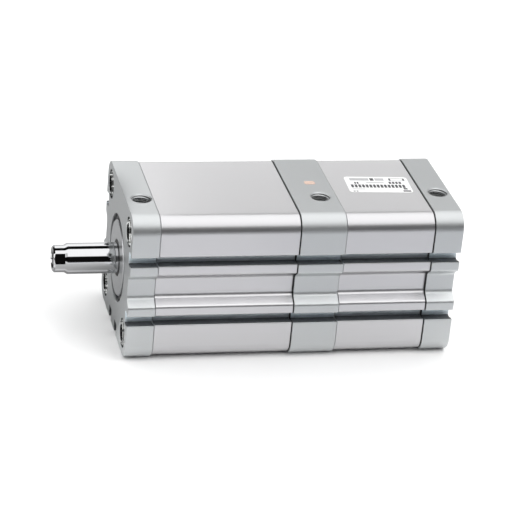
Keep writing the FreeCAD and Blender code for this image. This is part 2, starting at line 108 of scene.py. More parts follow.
# %% Sizes of the section
corner_radius = 9.0 * mm
band_half_height = 5.2 * mm
barrel_band_depth = 5.8 * mm
head_band_depth = 5.2 * mm
ledge_edge = 8.9 * mm
ledge_drop = 0.2 * mm
ledge_round = 2.0 * mm
band_round = 3.0 * mm
flank_slot_offset = 16.4 * mm
bottom_slot_offset = 8.2 * mm
slot_mouth = 5.2 * mm
slot_undercut = 0.8 * mm
slot_lip = 2.2 * mm
slot_depth = 6.5 * mm
slot_lip_round = 0.5 * mm
slot_floor_round = 0.8 * mm
arc_step = math.radians(6)
fewest_steps = 3
print("slots", round(slot_mouth / mm, 1), "mm wide and", round(slot_depth / mm, 1), "mm deep")

# %% [markdown]
# ## Helpers for modelling
# Operators act on whatever is selected, so one object is left selected and active before they run.
# A helper that is used for many pieces is written once: drawing an outline with rounded corners,
# pulling it out along the axis, spinning a profile, and cutting one solid out of another.

# %% Selecting, applying and cutting
merge_distance = 1e-7


def only(piece):
    """Leaves one object selected and active, in object mode."""
    if bpy.context.object and bpy.context.object.mode != "OBJECT":
        bpy.ops.object.mode_set(mode="OBJECT")
    bpy.ops.object.select_all(action="DESELECT")
    piece.select_set(True)
    bpy.context.view_layer.objects.active = piece


def edit(piece):
    """Opens a piece in edit mode with everything selected."""
    only(piece)
    bpy.ops.object.mode_set(mode="EDIT")
    bpy.ops.mesh.select_mode(type="VERT")
    bpy.ops.mesh.select_all(action="SELECT")


def tidy():
    """In edit mode: merges doubled points and turns every face outwards."""
    bpy.ops.mesh.select_all(action="SELECT")
    bpy.ops.mesh.remove_doubles(threshold=merge_distance)
    bpy.ops.mesh.normals_make_consistent(inside=False)
    bpy.ops.object.mode_set(mode="OBJECT")


def apply_all(piece):
    """Applies every modifier of a piece, from the top down."""
    only(piece)
    for name in [modifier.name for modifier in piece.modifiers]:
        bpy.ops.object.modifier_apply(modifier=name)


def combine(piece, tools, operation):
    """Cuts the tools out of a piece, or unites them with it, and deletes the tools."""
    for tool in tools:
        boolean = piece.modifiers.new("cut", "BOOLEAN")
        boolean.object = tool
        boolean.operation = operation
        boolean.solver = "EXACT"
        apply_all(piece)
        bpy.data.objects.remove(tool)


def smooth(piece, angle=35):
    """Smooth shading up to an angle, with normals that keep the flat faces flat."""
    only(piece)
    bpy.ops.object.shade_smooth_by_angle(angle=math.radians(angle))
    weighted = piece.modifiers.new("flat faces first", "WEIGHTED_NORMAL")
    weighted.keep_sharp = True
    apply_all(piece)


# %% Outlines and solids
# For each axis, the way along it and a way out from it.
directions = {"X": (Vector((1, 0, 0)), Vector((0, 1, 0))), "Z": (Vector((0, 0, 1)), Vector((1, 0, 0)))}
station_tolerance = 1e-6


def rounded(corners):
    """Points of a closed outline from corners (a, b, rounding), each rounding a tangent arc."""
    points = []
    for i, (a, b, rounding) in enumerate(corners):
        here = Vector((a, b))
        if not rounding:
            points.append(here)
            continue
        before = (Vector(corners[i - 1][:2]) - here).normalized()
        after = (Vector(corners[(i + 1) % len(corners)][:2]) - here).normalized()
        half_angle = before.angle(after) / 2
        centre = here + (before + after).normalized() * (rounding / math.sin(half_angle))
        reach = rounding / math.tan(half_angle)
        first = (here + before * reach - centre).normalized()
        last = (here + after * reach - centre).normalized()
        steps = max(fewest_steps, math.ceil(first.angle(last) / arc_step))
        points += [centre + first.slerp(last, step / steps) * rounding for step in range(steps + 1)]
    return points


def drawn(name, points):
    """A closed outline through points in space, as a mesh of edges."""
    curve = bpy.data.curves.new(name, "CURVE")
    curve.dimensions = "3D"
    line = curve.splines.new("POLY")
    line.points.add(len(points) - 1)
    for spot, point in zip(line.points, points):
        spot.co = (*point, 1)
    line.use_cyclic_u = True
    piece = bpy.data.objects.new(name, curve)
    bpy.context.scene.collection.objects.link(piece)
    only(piece)
    bpy.ops.object.convert(target="MESH")
    return bpy.context.object


def extruded(name, points, shift):
    """A solid from a closed outline in space, filled and pulled along a shift."""
    piece = drawn(name, points)
    edit(piece)
    bpy.ops.mesh.edge_face_add()
    bpy.ops.mesh.extrude_region_move(TRANSFORM_OT_translate={"value": shift})
    tidy()
    return piece


def pulled(name, outline, x_front, x_rear):
    """A solid pulled along X from an outline of (y, z) points."""
    return extruded(name, [(x_rear, *point) for point in outline], (x_front - x_rear, 0, 0))


def spun(name, outline, centre=(0, 0, 0), axis="X", steps=72):
    """A solid spun about an axis through a centre from corners (along, radius)."""
    along, out = directions[axis]
    middle = Vector(centre)
    piece = drawn(name, [middle + along * a + out * radius for a, radius in outline])
    edit(piece)
    bpy.ops.mesh.spin(steps=steps, angle=math.tau, center=middle, axis=along)
    tidy()
    return piece


def break_ends(piece, stations, width, segments=2):
    """Rounds off the edges that lie in the end planes of a pulled piece."""
    edit(piece)
    bpy.ops.mesh.select_mode(type="EDGE")
    mesh = bmesh.from_edit_mesh(piece.data)
    for edge in mesh.edges:
        ends = [vertex.co.x for vertex in edge.verts]
        edge.select_set(any(all(abs(x - at) < station_tolerance for x in ends) for at in stations))
    bmesh.update_edit_mesh(piece.data)
    bpy.ops.mesh.bevel(offset=width, segments=segments, affect="EDGES", clamp_overlap=False)
    tidy()


# %% [markdown]
# ## The body section
# Heads and barrels share one section: rounded corners, and on each flank two T-shaped sensor slots
# with a recessed band between two narrow ledges. The bottom has two slots side by side, and the top
# is plain. An extruded bar is best made as it is in the mill: one outline, pulled to length.

# %% One outline for heads and barrels
def slot_corners(offset, near_drop):
    """One T-slot as (position along the face, depth, rounding), from its outer lip to its inner lip."""
    outer = offset + slot_mouth / 2
    inner = offset - slot_mouth / 2
    return [
        (outer, 0, slot_lip_round),
        (outer, slot_lip, 0),
        (outer + slot_undercut, slot_lip, 0),
        (outer + slot_undercut, slot_depth, slot_floor_round),
        (inner - slot_undercut, slot_depth, slot_floor_round),
        (inner - slot_undercut, slot_lip, 0),
        (inner, slot_lip, 0),
        (inner, near_drop, slot_lip_round),
    ]


def mirrored(corners):
    """The other half of a symmetric face."""
    return [(-along, depth, rounding) for along, depth, rounding in reversed(corners)]


def section(half, band_depth):
    """The outline of the body, as (y, z) points, for a given half side and depth of the band."""
    corner = corner_radius - (head_half - half)
    flank = slot_corners(flank_slot_offset, ledge_drop)
    flank += [(ledge_edge, ledge_drop, ledge_round), (band_half_height, band_depth, band_round)]
    flank += mirrored(flank)
    floor = slot_corners(bottom_slot_offset, 0)
    floor += mirrored(floor)
    corners = [(-half, half, corner), (half, half, corner)]
    corners += [(half - depth, z, rounding) for z, depth, rounding in flank]
    corners += [(half, -half, corner)]
    corners += [(y, -half + depth, rounding) for y, depth, rounding in floor]
    corners += [(-half, -half, corner)]
    corners += [(-half + depth, -z, rounding) for z, depth, rounding in flank]
    return rounded(corners)


print("section points", len(section(head_half, head_band_depth)))

# %% [markdown]
# ## The barrels
# A barrel is a length of extrusion, sawn square, bored for the piston and drilled through at the
# corners for the tie screws. The sawn edge is broken a little, which draws a line at each joint, and
# less where a gasket lies against it.

# %% Barrels
bore_radius = 31.5 * mm
tie_reach = mounts["front_upper_left_bolt"]["pos_m"][1]
tie_channel_radius = 6.5 * mm
saw_edge = 0.45 * mm
gasket_edge = 0.15 * mm
cut_margin = 1.0 * mm
corner_spots = [(y, z) for y in (-tie_reach, tie_reach) for z in (-tie_reach, tie_reach)]


def plain_hole(radius, x_front, x_rear, y=0.0, z=0.0):
    """A cutter for a plain round hole along X."""
    corners = [(x_rear, 0), (x_rear, radius), (x_front, radius), (x_front, 0)]
    return spun("hole", corners, (0, y, z))


def make_barrel(name, node, x_front, x_rear):
    """A length of the section with its bore and tie screw channels."""
    barrel = pulled(name, section(barrel_half, barrel_band_depth), x_front, x_rear)
    break_ends(barrel, (x_front,), saw_edge, 1)
    break_ends(barrel, (x_rear,), gasket_edge, 1)
    ends = (x_front + cut_margin, x_rear - cut_margin)
    cutters = [plain_hole(bore_radius, *ends)]
    cutters += [plain_hole(tie_channel_radius, *ends, y, z) for y, z in corner_spots]
    combine(barrel, cutters, "DIFFERENCE")
    smooth(barrel)
    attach(barrel, "housing")
    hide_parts(node)
    print(name, "faces", len(barrel.data.polygons))
    return barrel


front_barrel = make_barrel("front_barrel_skin", "front_barrel", front_barrel_x, front_barrel_rear_x)
rear_barrel = make_barrel("rear_barrel_skin", "rear_barrel", rear_barrel_x, rear_barrel_rear_x)

# %% [markdown]
# ## The heads
# Each head is a thick slice of the same section, 0.7 mm larger all round, with a round spigot that
# locates the barrel and carries a rubber bumper. Ports, counterbores and the gland seat are machined
# into it, so here they are cut with spun profiles that already hold their chamfers.

# %% Cutters for the machined features
head_edge = 0.45 * mm
rim_break = 0.25 * mm
spigot_radius = 31.4 * mm
spigot_length = 3.0 * mm
bumper_inner, bumper_outer, bumper_seat = 16.0 * mm, 22.0 * mm, 2.0 * mm
o_ring_half, o_ring_root = 0.85 * mm, 29.8 * mm
port_radius = mounts["front_port"]["dims"]["r_mm"] * mm
port_mouth = 0.6 * mm
port_depth = 9.0 * mm
port_drill_radius = 3.0 * mm
port_drill_depth = 19.25 * mm
tie_seat_depth = 5.5 * mm
tie_mouth_radius = 7.6 * mm
gland_seat_radius = 22.7 * mm
gland_seat_depth = 8.8 * mm
ring_groove_radius = 23.9 * mm
ring_groove_front, ring_groove_rear = 1.3 * mm, 2.9 * mm
gland_tail_radius, gland_tail_depth = 14.1 * mm, 15.4 * mm
rod_hole_radius = 9.0 * mm


def spigot(x_head, outward, o_ring=None):
    """The locating spigot on a head's inner side, with grooves for its bumper and its O-ring."""
    tip = x_head + outward * spigot_length
    groove = tip - outward * bumper_seat
    root = x_head - outward * cut_margin
    corners = [(root, 0), (root, spigot_radius)]
    if o_ring:
        low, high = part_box(o_ring)
        middle = (low.x + high.x) / 2
        near, far = middle - outward * o_ring_half, middle + outward * o_ring_half
        corners += [(near, spigot_radius), (near, o_ring_root), (far, o_ring_root), (far, spigot_radius)]
    corners += [
        (tip - outward * rim_break, spigot_radius), (tip, spigot_radius - rim_break), (tip, bumper_outer),
        (groove, bumper_outer), (groove, bumper_inner), (tip, bumper_inner), (tip, 0),
    ]
    return spun("spigot", corners)


def stepped_hole(x_face, inward, steps, y=0.0, z=0.0):
    """A cutter that goes in from a face, from steps (depth, radius), with a broken rim at its mouth."""
    mouth = steps[0][1]
    outside = x_face - inward * cut_margin
    corners = [(outside, 0), (outside, mouth + rim_break + cut_margin)]
    corners += [(x_face + inward * rim_break, mouth)]
    last = mouth
    for depth, radius in steps:
        if radius != last:
            corners.append((corners[-1][0], radius))
        corners.append((x_face + inward * depth, radius))
        last = radius
    corners.append((corners[-1][0], 0))
    return spun("stepped hole", corners, (0, y, z))


def counterbores(x_face, inward, thickness):
    """Cutters for the four screw holes of an end head, from its outer face through its thickness."""
    steps = [(tie_seat_depth, tie_mouth_radius), (thickness + cut_margin, tie_channel_radius)]
    return [stepped_hole(x_face, inward, steps, y, z) for y, z in corner_spots]


def port_hole(mount):
    """A cutter for an air port: a countersunk mouth, the thread's hole and the drilling below."""
    x, y, _ = mount["pos_m"]
    top = head_half
    return spun("port hole", [
        (top + cut_margin, 0), (top + cut_margin, port_radius + port_mouth + cut_margin),
        (top - port_mouth, port_radius), (top - port_depth, port_radius),
        (top - port_depth, port_drill_radius), (top - port_drill_depth, port_drill_radius),
        (top - port_drill_depth, 0),
    ], (x, y, 0), "Z")


def make_head(node, x_front, x_rear, edges, spigots, cutters):
    """A slice of the section, its edges broken, with its spigots on and its machined features cut out."""
    head = pulled(f"{node}_casting", section(head_half, head_band_depth), x_front, x_rear)
    for stations, width in edges:
        break_ends(head, stations, width)
    combine(head, spigots, "UNION")
    combine(head, cutters, "DIFFERENCE")
    smooth(head)
    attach(head, "housing")
    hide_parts(node)
    print(head.name, "faces", len(head.data.polygons))
    return head


# %% Front head, with its gland seat, port and four counterbores
gland_steps = [
    (ring_groove_front, gland_seat_radius), (ring_groove_rear, ring_groove_radius),
    (gland_seat_depth, gland_seat_radius), (gland_tail_depth, gland_tail_radius),
    (front_face_x - front_barrel_x + spigot_length + cut_margin, rod_hole_radius),
]
edges = [((front_face_x, front_barrel_x), head_edge)]
spigots = [spigot(front_barrel_x, -1, "front_head_o_ring")]
cutters = [stepped_hole(front_face_x, -1, gland_steps), port_hole(mounts["front_port"])]
cutters += counterbores(front_face_x, -1, front_face_x - front_barrel_x)
front_head = make_head("front_head", front_face_x, front_barrel_x, edges, spigots, cutters)

# %% Mid head, with a spigot on both sides, a port, and tapped holes for the tie screws
push_hole_radius = 7.5 * mm
tie_tap_radius, tie_tap_depth = 4.05 * mm, 10.1 * mm
tie_tap = [(tie_tap_depth, tie_tap_radius)]
reach = spigot_length + cut_margin
edges = [((rear_barrel_x,), head_edge), ((mid_head_x,), gasket_edge)]
spigots = [spigot(mid_head_x, 1), spigot(rear_barrel_x, -1, "mid_head_o_ring")]
cutters = [plain_hole(push_hole_radius, mid_head_x + reach, rear_barrel_x - reach)]
cutters += [port_hole(mounts["mid_port"])]
for y, z in corner_spots:
    cutters.append(stepped_hole(mid_head_x, -1, tie_tap, y, z))
    cutters.append(stepped_hole(rear_barrel_x, 1, tie_tap, y, z))
mid_head = make_head("mid_head", mid_head_x, rear_barrel_x, edges, spigots, cutters)

# %% Rear head, closed, with its port and four counterbores
edges = [((rear_face_x,), head_edge), ((rear_head_x,), gasket_edge)]
cutters = [port_hole(mounts["rear_port"])] + counterbores(rear_face_x, 1, rear_head_x - rear_face_x)
rear_head = make_head("rear_head", rear_head_x, rear_face_x, edges, [spigot(rear_head_x, 1)], cutters)

# %% [markdown]
# ## Threads
# A thread is a ridge that winds along a hole. The Screw modifier winds a small trapezium up by one
# pitch per turn, which is how a tap works. The ridges stand on the wall of the hole and point inwards.

# %% A thread in a hole
# Height, crest and root of a ridge, as shares of the pitch.
thread_height, thread_crest, thread_root = 0.58, 0.12, 0.9


def thread(name, radius, pitch, start, turns, centre=(0, 0, 0), axis="X", steps=40):
    """A right-handed internal thread: a ridge that winds along an axis from a start station."""
    crest = thread_crest * pitch
    root = thread_root * pitch
    tip = radius - thread_height * pitch
    along, out = directions[axis]
    corners = [(0, radius), (root, radius), ((root + crest) / 2, tip), ((root - crest) / 2, tip)]
    piece = drawn(name, [along * a + out * r for a, r in corners])
    screw = piece.modifiers.new("winding", "SCREW")
    screw.axis = axis
    screw.screw_offset = pitch
    screw.iterations = turns
    screw.steps = steps
    screw.render_steps = steps
    apply_all(piece)
    edit(piece)
    bpy.ops.mesh.select_non_manifold()
    bpy.ops.mesh.fill_holes(sides=0)
    bpy.ops.mesh.select_all(action="SELECT")
    bpy.ops.transform.translate(value=Vector(centre) + along * start)
    tidy()
    smooth(piece)
    return piece


# %% Threads in the ports
port_pitch = 0.907 * mm
port_thread_start = 0.9 * mm


def make_port_thread(name, mount):
    """The pipe thread in an air port."""
    x, y, _ = mount["pos_m"]
    turns = int((port_depth - 2 * port_thread_start) / port_pitch) - 1
    start = head_half - port_thread_start - (turns + thread_root) * port_pitch
    piece = thread(name, port_radius, port_pitch, start, turns, (x, y, 0), "Z")
    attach(piece, "housing")
    print(name, "turns", turns)
    return piece


port_names = ("front_port", "mid_port", "rear_port")
port_threads = [make_port_thread(f"{port}_thread", mounts[port]) for port in port_names]

# %% [markdown]
# ## The tie screws
# Each corner screw has a flanged head below the mounting face, with a threaded hole for the user's
# own screw, a thick collar and a thinner shank that reaches the mid head. It is turned from bar, so
# one spun profile makes it, with small chamfers where the real one catches the light.

# %% Tie screws
tie_recess = 2.0 * mm
tie_flange_radius, tie_flange_length = 7.3 * mm, 3.5 * mm
tie_collar_radius, tie_collar_length = 6.3 * mm, 16.5 * mm
tie_shank_radius = 4.0 * mm
tie_bolt = mounts["front_upper_left_bolt"]["dims"]
tie_thread_radius, tie_thread_depth = tie_bolt["r_mm"] * mm, tie_bolt["length_mm"] * mm
tie_pitch = 1.25 * mm
tie_chamfer = 0.5 * mm
tie_mouth = 0.6 * mm


def make_tie_screw(name, node, x_face, inward, x_end, y, z):
    """One flanged tie screw with its threaded hole."""
    head = x_face + inward * tie_recess
    flange = head + inward * tie_flange_length
    collar = flange + inward * tie_collar_length
    floor = head + inward * tie_thread_depth
    screw = spun(name, [
        (head + inward * tie_mouth, tie_thread_radius), (head, tie_thread_radius + tie_mouth),
        (head, tie_flange_radius - tie_chamfer), (head + inward * tie_chamfer, tie_flange_radius),
        (flange, tie_flange_radius), (flange, tie_collar_radius),
        (collar - inward * tie_chamfer, tie_collar_radius), (collar, tie_collar_radius - tie_chamfer),
        (collar, tie_shank_radius), (x_end - inward * tie_chamfer, tie_shank_radius),
        (x_end, tie_shank_radius - tie_chamfer), (x_end, 0), (floor, 0), (floor, tie_thread_radius),
    ], (0, y, z), steps=48)
    smooth(screw)
    turns = int((tie_thread_depth - tie_mouth) / tie_pitch) - 1
    low = min(head + inward * tie_mouth, floor)
    ridge = thread("ridge", tie_thread_radius, tie_pitch, low, turns, (0, y, z), steps=32)
    only(screw)
    ridge.select_set(True)
    bpy.ops.object.join()
    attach(screw, "housing")
    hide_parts(node)
    return screw


def make_tie_screws(end, x_face, inward):
    """The four tie screws of one end."""
    node = f"{end}_tie_screws"
    low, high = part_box(node)
    x_end = low.x if inward < 0 else high.x
    screws = []
    for y, z in corner_spots:
        spot = ("upper" if z > 0 else "lower") + ("_left" if y > 0 else "_right")
        screws.append(make_tie_screw(f"{end}_tie_screw_{spot}", node, x_face, inward, x_end, y, z))
    print(end, "tie screws", len(screws), "faces each", len(screws[0].data.polygons))
    return screws


tie_screws = make_tie_screws("front", front_face_x, -1) + make_tie_screws("rear", rear_face_x, 1)

# %% [markdown]
# ## The rod end
# The gland is a turned insert, level with the front face and held by an internal retaining ring whose
# two eyes take the pliers. A rubber wiper closes the gap round the rod. The rod is ground and
# chromed, with a stepped-down neck, two wrench flats and a threaded hole.

# %% Rod gland and its ring
gland_bore_radius = 9.5 * mm
gland_nose_radius, gland_flange_radius = 19.5 * mm, 22.6 * mm
gland_flange_start, gland_flange_end = 2.9 * mm, 8.8 * mm
gland_body_tail, gland_tail_end = 14.0 * mm, 15.4 * mm
seal_pocket_radius, seal_pocket_start = 12.0 * mm, 11.8 * mm
gland_groove_root, gland_groove_half = 21.0 * mm, 0.85 * mm
gland_break = 0.4 * mm
ring_inner, ring_outer = 19.8 * mm, 23.8 * mm
ring_thickness = 1.5 * mm
ring_edge = 0.15 * mm
ring_gap = 8.0 * mm
ring_eye_radius, ring_eye_inset = 1.0 * mm, 4.2 * mm


def make_gland():
    """The turned gland with its nose, flange, O-ring groove and tail."""
    middle = (gland_flange_start + gland_flange_end) / 2
    near, far = -middle + gland_groove_half, -middle - gland_groove_half
    gland = spun("rod_gland_turned", [
        (-gland_break, gland_bore_radius), (0, gland_bore_radius + gland_break),
        (0, gland_nose_radius - gland_break), (-gland_break, gland_nose_radius),
        (-gland_flange_start, gland_nose_radius), (-gland_flange_start, gland_flange_radius),
        (near, gland_flange_radius), (near, gland_groove_root),
        (far, gland_groove_root), (far, gland_flange_radius),
        (-gland_flange_end, gland_flange_radius), (-gland_flange_end, gland_body_tail),
        (-gland_tail_end, gland_body_tail), (-gland_tail_end, seal_pocket_radius),
        (-seal_pocket_start, seal_pocket_radius), (-seal_pocket_start, gland_bore_radius),
    ], steps=120)
    smooth(gland)
    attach(gland, "housing")
    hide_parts("rod_gland")
    return gland


def make_retaining_ring():
    """The spring ring in front of the gland's flange, open at the bottom, with two eyes."""
    rear = -gland_flange_start
    front = rear + ring_thickness
    band = spun("retaining_ring", [
        (rear, ring_inner), (front - ring_edge, ring_inner), (front, ring_inner + ring_edge),
        (front, ring_outer - ring_edge), (front - ring_edge, ring_outer), (rear, ring_outer),
    ], steps=120)
    gap = pulled("gap", [(-ring_gap / 2, 0), (ring_gap / 2, 0), (ring_gap / 2, -2 * ring_outer),
                         (-ring_gap / 2, -2 * ring_outer)], front + cut_margin, rear - cut_margin)
    eye_reach = (ring_inner + ring_outer) / 2
    eye_angle = (ring_gap / 2 + ring_eye_inset) / eye_reach
    cutters = [gap]
    for side in (-1, 1):
        y = side * eye_reach * math.sin(eye_angle)
        z = -eye_reach * math.cos(eye_angle)
        cutters.append(plain_hole(ring_eye_radius, front + cut_margin, rear - cut_margin, y, z))
    combine(band, cutters, "DIFFERENCE")
    smooth(band)
    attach(band, "housing")
    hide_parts("gland_retaining_ring")
    return band


rod_gland = make_gland()
retaining_ring = make_retaining_ring()
print("gland faces", len(rod_gland.data.polygons), "ring faces", len(retaining_ring.data.polygons))

# %% Wiper and rod
wiper_low, wiper_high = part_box("rod_wiper")
wiper_inner, wiper_outer = 8.05 * mm, 9.45 * mm
wiper_lip_thickness, wiper_round = 0.5 * mm, 0.1 * mm
rod_low, rod_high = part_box("piston_rod")
rod_radius = 8.0 * mm
neck_radius, neck_length, neck_cone = 7.0 * mm, 5.8 * mm, 1.6 * mm
tip_chamfer = 0.8 * mm
wrench_flats = 13.0 * mm
flat_turn = math.radians(24)
rod_thread_radius = mounts["rod_thread"]["dims"]["r_mm"] * mm
rod_thread_depth, rod_thread_mouth = 18.0 * mm, 0.6 * mm
rod_thread_pitch = 1.5 * mm
drill_point = 3.0 * mm
rod_spigot_x, rod_spigot_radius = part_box("front_piston")[1].x, 6.0 * mm
rod_screw_hole, rod_screw_depth = 4.05 * mm, 22.0 * mm


def make_wiper():
    """The rubber wiper: a collar in the gland and a low lip that stands out round the rod."""
    lip = wiper_inner + wiper_lip_thickness
    points = rounded([
        (wiper_low.x, wiper_inner, 0), (wiper_high.x, wiper_inner, wiper_round),
        (wiper_high.x, lip, wiper_round), (0, wiper_outer, wiper_round), (wiper_low.x, wiper_outer, 0),
    ])
    wiper = spun("rod_wiper_lip", points, steps=96)
    smooth(wiper)
    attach(wiper, "housing")
    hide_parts("rod_wiper")
    return wiper


def make_rod():
    """The chromed rod with its neck, wrench flats and threaded end, and the spigot for the piston."""
    tip = rod_high.x
    cone = tip - neck_length
    floor = tip - rod_thread_depth
    screw_floor = rod_low.x + rod_screw_depth
    rod = spun("piston_rod_chromed", [
        (floor - drill_point, 0), (floor, rod_thread_radius), (tip - rod_thread_mouth, rod_thread_radius),
        (tip, rod_thread_radius + rod_thread_mouth), (tip, neck_radius - tip_chamfer),
        (tip - tip_chamfer, neck_radius), (cone, neck_radius), (cone - neck_cone, rod_radius),
        (rod_spigot_x, rod_radius), (rod_spigot_x, rod_spigot_radius), (rod_low.x, rod_spigot_radius),
        (rod_low.x, rod_screw_hole), (screw_floor, rod_screw_hole), (screw_floor + drill_point, 0),
    ], steps=120)
    cutters = []
    for turn in (flat_turn, flat_turn + math.pi):
        half = wrench_flats / 2
        corners = [Vector((half, -rod_radius)), Vector((half + rod_radius, -rod_radius)),
                   Vector((half + rod_radius, rod_radius)), Vector((half, rod_radius))]
        turned = [Matrix.Rotation(turn, 2) @ corner for corner in corners]
        cutters.append(pulled("flat", turned, tip + cut_margin, cone))
    combine(rod, cutters, "DIFFERENCE")
    smooth(rod)
    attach(rod, "rod_stage")
    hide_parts("piston_rod")
    return rod


def make_rod_thread():
    """The thread in the rod's end."""
    turns = int((rod_thread_depth - rod_thread_mouth) / rod_thread_pitch) - 1
    start = rod_high.x - rod_thread_mouth - (turns + thread_root) * rod_thread_pitch
    piece = thread("rod_end_thread", rod_thread_radius, rod_thread_pitch, start, turns)
    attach(piece, "rod_stage")
    return piece


rod_wiper = make_wiper()
piston_rod = make_rod()
rod_end_thread = make_rod_thread()
print("rod faces", len(piston_rod.data.polygons), "tip at", round(rod_high.x / mm, 2))

# %% [markdown]
# ## Label and marking
# A white film label lies on the rear barrel, a little crooked, as stuck on by hand, and is printed with
# plain bars and blocks. A faded dab of orange marking paint sits on the mid head.

# %% Label and paint dab
label_centre = Vector((-134.7, -1.4)) * mm
label_size = Vector((33.5, 19.0)) * mm
label_round = 2.0 * mm
label_thickness = 0.08 * mm
label_turn = math.radians(-2.5)
print_thickness = 0.02 * mm
dab_centre = Vector((-98.4, -3.1)) * mm
dab_size = Vector((5.6, 4.0)) * mm
dab_round = 1.1 * mm
dab_height = 0.12 * mm
dab_terraces = 3
facing_up = 0.9
block_share = 0.7


def flat_sheet(name, corners, centre, turn, z_low, thickness):
    """A thin sheet lying on a top face, from an outline about its own centre."""
    turned = [Matrix.Rotation(turn, 2) @ point + centre for point in rounded(corners)]
    return extruded(name, [(point.x, point.y, z_low) for point in turned], (0, 0, thickness))


def rectangle(size, rounding=0.0, middle=(0.0, 0.0)):
    """Corners of a rectangle, each with the same rounding."""
    half = size / 2
    signs = ((-1, -1), (1, -1), (1, 1), (-1, 1))
    return [(middle[0] + a * half.x, middle[1] + b * half.y, rounding) for a, b in signs]


def make_label():
    """The film label on the rear barrel."""
    film = flat_sheet("label_film", rectangle(label_size, label_round), label_centre, label_turn,
                      barrel_half, label_thickness)
    smooth(film)
    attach(film, "housing")
    return film


def blocks(start, end, row, height, count):
    """A row of equal blocks with gaps between them."""
    step = (end - start) / count
    return [(start + i * step, start + (i + block_share) * step, row, height) for i in range(count)]


# Bars as (start, end, row, height), all shares of the label's length and width.
dark_bars = [(0.40, 0.46, 0.17, 0.16), (0.87, 0.93, 0.76, 0.09), (0.85, 0.97, 0.90, 0.08)]
dark_bars += [(0.70, 0.73, 0.17, 0.12), (0.92, 0.95, 0.17, 0.12)]
dark_bars += blocks(0.06, 0.93, 0.60, 0.19, 15) + blocks(0.68, 0.89, 0.38, 0.13, 4)
dark_bars += blocks(0.13, 0.21, 0.40, 0.12, 2) + blocks(0.06, 0.15, 0.93, 0.05, 2)
pale_bars = [(0.08, 0.38, 0.17, 0.15), (0.48, 0.62, 0.17, 0.15), (0.32, 0.60, 0.38, 0.05)]
pale_bars += [(0.70, 0.95, 0.10, 0.03), (0.70, 0.95, 0.25, 0.03), (0.06, 0.26, 0.79, 0.04)]


def make_label_print(name, bars):
    """Flat bars on the label, laid out from the rod's side to the rear."""
    top = barrel_half + label_thickness
    pieces = []
    for low, high, row, height in bars:
        size = Vector(((high - low) * label_size.x, height * label_size.y))
        middle = ((0.5 - (low + high) / 2) * label_size.x, (row - 0.5) * label_size.y)
        corners = rectangle(size, 0.0, middle)
        pieces.append(flat_sheet(name, corners, label_centre, label_turn, top, print_thickness))
    only(pieces[0])
    for piece in pieces:
        piece.select_set(True)
    bpy.ops.object.join()
    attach(pieces[0], "housing")
    return pieces[0]


def make_dab():
    """A brushed dab of marking paint with a domed top."""
    outline = rectangle(dab_size, dab_round)
    step = dab_height / dab_terraces
    dab = flat_sheet("marking_dab", outline, dab_centre, 0.0, head_half, step)
    edit(dab)
    bpy.ops.mesh.select_mode(type="FACE")
    mesh = bmesh.from_edit_mesh(dab.data)
    for face in mesh.faces:
        face.select_set(face.normal.z > facing_up)
    bmesh.update_edit_mesh(dab.data)
    for _ in range(dab_terraces - 1):
        bpy.ops.mesh.inset(thickness=dab_round / 2, depth=step)
    tidy()
    smooth(dab, angle=60)
    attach(dab, "housing")
    return dab


label = make_label()
label_print = make_label_print("label_print", dark_bars)
label_fields = make_label_print("label_fields", pale_bars)
marking_dab = make_dab()
print("label faces", len(label.data.polygons), "dab faces", len(marking_dab.data.polygons))

# %% [markdown]
# ## Materials
# Every finish is a Principled shader whose pattern reads Object coordinates, so it sits still on the
# piece. What is the same all over is typed on the socket; only what varies is linked from a texture.

# %% A base for every finish
# Textures move colour and roughness while they go from one of these values to the other.
ramp_low, ramp_high = 0.3, 0.7
noise_detail = 3.0


def finish(name, colour, roughness, metallic=0.0):
    """A material and its Principled shader, with what is the same all over typed in."""
    material = bpy.data.materials.new(name)
    material.use_nodes = True
    shader = material.node_tree.nodes["Principled BSDF"]
    shader.inputs["Base Color"].default_value = (*colour, 1)
    shader.inputs["Roughness"].default_value = roughness
    shader.inputs["Metallic"].default_value = metallic
    return material, shader


def add(tree, kind, values):
    """A new shader node. Sockets among its values are linked, anything else is typed in."""
    node = tree.nodes.new(kind)
    for socket, value in values.items():
        if isinstance(value, bpy.types.NodeSocket):
            tree.links.new(value, node.inputs[socket])
        else:
            node.inputs[socket].default_value = value
    return node


def worked_out(tree, operation, *values):
    """The result of a Math node."""
    node = add(tree, "ShaderNodeMath", dict(enumerate(values)))
    node.operation = operation
    return node.outputs["Value"]


def split(tree, coordinates):
    """The X, Y and Z of a texture coordinate."""
    place = tree.nodes.new("ShaderNodeTexCoord").outputs[coordinates]
    return add(tree, "ShaderNodeSeparateXYZ", {"Vector": place}).outputs


def noise(tree, scale):
    """A noise texture on Object coordinates, its grain per metre given for each axis."""
    place = tree.nodes.new("ShaderNodeTexCoord").outputs["Object"]
    stretched = add(tree, "ShaderNodeMapping", {"Vector": place, "Scale": scale}).outputs["Vector"]
    values = {"Vector": stretched, "Scale": 1.0, "Detail": noise_detail}
    return add(tree, "ShaderNodeTexNoise", values).outputs["Fac"]


def mapped(tree, source, low, high, to_low, to_high):
    """A texture's values, carried from one range to another."""
    values = {"Value": source, "From Min": low, "From Max": high, "To Min": to_low, "To Max": to_high}
    return add(tree, "ShaderNodeMapRange", values).outputs["Result"]


def vary_colour(tree, shader, source, dark, light):
    """Lets a texture move the colour between two shades."""
    ramp = add(tree, "ShaderNodeValToRGB", {"Fac": source})
    ramp.color_ramp.elements[0].position = ramp_low
    ramp.color_ramp.elements[0].color = (*dark, 1)
    ramp.color_ramp.elements[1].position = ramp_high
    ramp.color_ramp.elements[1].color = (*light, 1)
    tree.links.new(ramp.outputs["Color"], shader.inputs["Base Color"])


